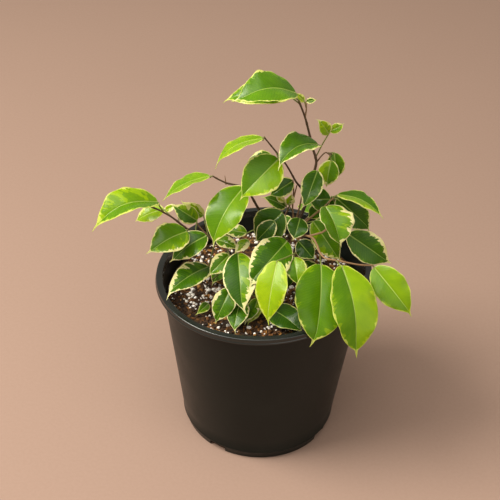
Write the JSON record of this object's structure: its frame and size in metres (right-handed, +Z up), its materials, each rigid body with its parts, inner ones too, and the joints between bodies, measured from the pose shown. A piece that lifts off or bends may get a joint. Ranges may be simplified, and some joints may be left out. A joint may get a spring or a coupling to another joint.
{
  "type": "potted weeping fig",
  "caption": "Young variegated weeping fig with arching leafy canes, rooted in dark potting mix in a tapered round black plastic nursery pot with a rolled rim.",
  "frame": {"origin": "middle of the flat underside of the pot, on the surface it stands on", "axes": "+Z up out of the pot, +Y to the back of the plant, +X to its right"},
  "size_m": [0.216, 0.152, 0.2863],
  "materials": {
    "pot_plastic": "black moulded polypropylene, satin, finely textured",
    "potting_mix": "damp dark bark and peat mix with white perlite",
    "bark": "thin brown bark, green on the youngest twigs",
    "variegated_leaf": "glossy waxed leaf, mid green with an uneven cream edge",
    "lime_leaf": "glossy waxed leaf, lime green with a yellow edge",
    "dark_leaf": "glossy waxed leaf, dark green with a thin pale edge"
  },
  "bodies": {
    "root": {"arched_twig": "bark", "arched_twig_leaf_1": "variegated_leaf", "arched_twig_leaf_2": "variegated_leaf", "back_cane": "bark", "back_cane_leaf_1": "dark_leaf", "back_cane_leaf_2": "dark_leaf", "back_cane_leaf_3": "dark_leaf", "cutting": "bark", "cutting_leaf_1": "variegated_leaf", "cutting_leaf_2": "variegated_leaf", "cutting_leaf_3": "variegated_leaf", "cutting_leaf_4": "dark_leaf", "far_left_cane": "bark", "far_left_cane_leaf_1": "variegated_leaf", "far_left_cane_leaf_2": "lime_leaf", "far_left_cane_leaf_3": "variegated_leaf", "far_left_cane_leaf_4": "dark_leaf", "far_left_cane_leaf_5": "dark_leaf", "far_left_cane_leaf_6": "dark_leaf", "far_left_cane_leaf_7": "variegated_leaf", "far_left_cane_leaf_8": "variegated_leaf", "far_left_cane_leaf_9": "variegated_leaf", "front_twig": "bark", "front_twig_leaf_1": "lime_leaf", "front_twig_leaf_2": "lime_leaf", "high_right_cane": "bark", "high_right_cane_leaf_1": "variegated_leaf", "high_right_cane_leaf_2": "dark_leaf", "high_right_cane_leaf_3": "dark_leaf", "high_right_cane_leaf_4": "variegated_leaf", "high_right_cane_leaf_5": "variegated_leaf", "inner_shoot": "bark", "inner_shoot_leaf_1": "dark_leaf", "leader": "bark", "leader_leaf_1": "variegated_leaf", "leader_leaf_2": "variegated_leaf", "leader_leaf_3": "variegated_leaf", "leader_leaf_4": "variegated_leaf", "leader_leaf_5": "variegated_leaf", "leader_leaf_6": "variegated_leaf", "low_right_cane": "bark", "low_right_cane_leaf_1": "lime_leaf", "low_right_cane_leaf_2": "lime_leaf", "low_right_cane_leaf_3": "variegated_leaf", "low_right_cane_leaf_4": "dark_leaf", "mid_left_cane": "bark", "mid_left_cane_leaf_1": "lime_leaf", "mid_left_cane_leaf_2": "variegated_leaf", "mid_left_cane_leaf_3": "dark_leaf", "mid_left_cane_leaf_4": "dark_leaf", "mid_left_cane_leaf_5": "variegated_leaf", "pot": "pot_plastic", "right_fork": "bark", "right_fork_leaf_1": "dark_leaf", "soil": "potting_mix", "trunk": "bark", "trunk_leaf_1": "variegated_leaf", "upper_left_twig": "bark", "upper_left_twig_leaf_1": "lime_leaf", "upper_left_twig_leaf_2": "variegated_leaf"}
  },
  "joints": []
}
